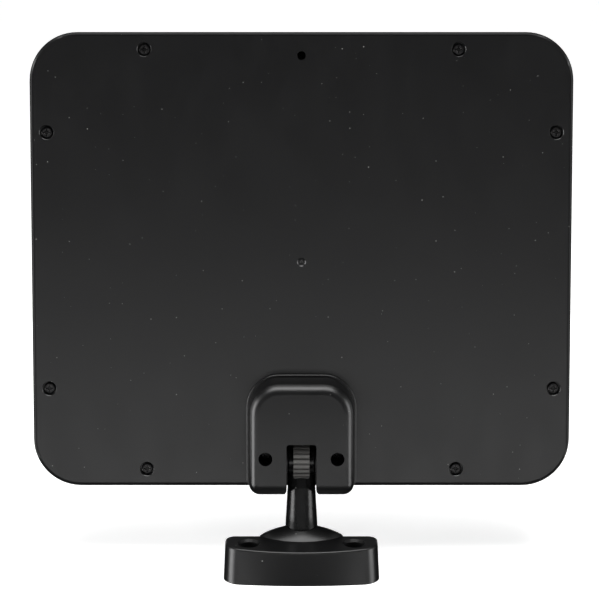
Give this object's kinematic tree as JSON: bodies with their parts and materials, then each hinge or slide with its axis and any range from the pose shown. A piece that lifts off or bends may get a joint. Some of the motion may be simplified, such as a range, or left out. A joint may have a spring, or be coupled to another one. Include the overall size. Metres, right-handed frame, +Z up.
{
  "type": "digital photo frame",
  "caption": "Black digital photo frame: flat display panel on a tilting hinge and short swivel stem, with a D-shaped screw-down base.",
  "frame": {"origin": "underside of the base, on the axis the stem swivels about", "axes": "+Z up; the screen faces -Y and the rear cover with its hinge faces +Y; X runs across the panel, parallel to the hinge axle"},
  "size_m": [0.26, 0.0969, 0.2529],
  "materials": {
    "cover_black": "fine satin texture",
    "bezel_black": "satin",
    "hinge_black": "satin",
    "base_black": "satin",
    "stem_black": "smooth satin",
    "wheel_grey": "dark grey nylon",
    "black_screw": "black oxide",
    "zinc_steel": "zinc plated",
    "spring_steel": "tempered",
    "acetal": "natural",
    "rubber_black": "matte",
    "clear_glass": "polished",
    "foam_black": "foam",
    "panel_glass": "dark display face",
    "diffuser_white": "translucent",
    "acrylic": "clear",
    "tin_plate": "tin plated",
    "pcb_green": "solder mask",
    "chip_black": "moulded epoxy",
    "film_amber": "polyimide film",
    "film_black": "film",
    "button_black": "satin",
    "ir_dark": "dark red tint",
    "brass_bush": "machined"
  },
  "bodies": {
    "base": {"base_shell": "base_black", "base_pad": "rubber_black", "base_plate": "zinc_steel", "base_plate_screws": "zinc_steel", "swivel_bush": "brass_bush", "friction_washer": "acetal", "spring_washer": "spring_steel"},
    "stem": {"stem_post": "stem_black", "detent_wheel": "wheel_grey", "swivel_washer": "zinc_steel", "swivel_screw": "zinc_steel"},
    "panel": {"hinge_housing": "hinge_black", "hinge_flange": "hinge_black", "hinge_axle": "zinc_steel", "hinge_washers": "film_black", "detent_spring": "spring_steel", "detent_screw": "zinc_steel", "hinge_clamp_screws": "black_screw", "hinge_reinforcement": "zinc_steel", "hinge_plate_screws": "zinc_steel", "rear_cover": "cover_black", "front_bezel": "bezel_black", "case_screws": "black_screw", "display_window": "clear_glass", "window_gasket": "foam_black", "lcd_front_frame": "tin_plate", "lcd_cell": "panel_glass", "diffuser_sheets": "diffuser_white", "light_guide": "acrylic", "led_strip": "pcb_green", "lcd_rear_chassis": "tin_plate", "lcd_clips": "zinc_steel", "lcd_clip_screws": "zinc_steel", "insulation_sheet": "film_black", "main_board": "pcb_green", "board_standoffs": "zinc_steel", "board_screws": "zinc_steel", "processor_chip": "chip_black", "memory_chips": "chip_black", "board_components": "chip_black", "coin_cell": "tin_plate", "coin_cell_holder": "chip_black", "dc_jack": "chip_black", "usb_socket": "tin_plate", "card_socket": "tin_plate", "button_board": "pcb_green", "tact_switches": "tin_plate", "button_board_screws": "zinc_steel", "button_board_posts": "acetal", "button_ribbon": "film_amber", "lcd_flex": "film_amber", "ir_window": "ir_dark", "ir_receiver": "chip_black", "ir_board": "pcb_green"},
    "power_button": {"button_1": "button_black"},
    "menu_button": {"button_2": "button_black"},
    "previous_button": {"button_3": "button_black"},
    "next_button": {"button_4": "button_black"},
    "play_button": {"button_5": "button_black"}
  },
  "joints": [
    {"name": "stem_swivel", "type": "hinge", "parent": "base", "child": "stem", "pos_m": [0, 0, 0.0154], "axis": [0, 0, 1], "range_deg": [-90, 90]},
    {"name": "panel_tilt", "type": "hinge", "parent": "stem", "child": "panel", "pos_m": [0, 0, 0.0537], "axis": [1, 0, 0], "range_deg": [-85, 4]},
    {"name": "power_button_press", "type": "slide", "parent": "panel", "child": "power_button", "axis": [0, 0.1736, -0.9848], "range_m": [0, 0.0005], "stiffness_N_per_m": 600, "springref_m": -0.0005},
    {"name": "menu_button_press", "type": "slide", "parent": "panel", "child": "menu_button", "axis": [0, 0.1736, -0.9848], "range_m": [0, 0.0005], "stiffness_N_per_m": 600, "springref_m": -0.0005},
    {"name": "previous_button_press", "type": "slide", "parent": "panel", "child": "previous_button", "axis": [0, 0.1736, -0.9848], "range_m": [0, 0.0005], "stiffness_N_per_m": 600, "springref_m": -0.0005},
    {"name": "next_button_press", "type": "slide", "parent": "panel", "child": "next_button", "axis": [0, 0.1736, -0.9848], "range_m": [0, 0.0005], "stiffness_N_per_m": 600, "springref_m": -0.0005},
    {"name": "play_button_press", "type": "slide", "parent": "panel", "child": "play_button", "axis": [0, 0.1736, -0.9848], "range_m": [0, 0.0005], "stiffness_N_per_m": 600, "springref_m": -0.0005}
  ]
}
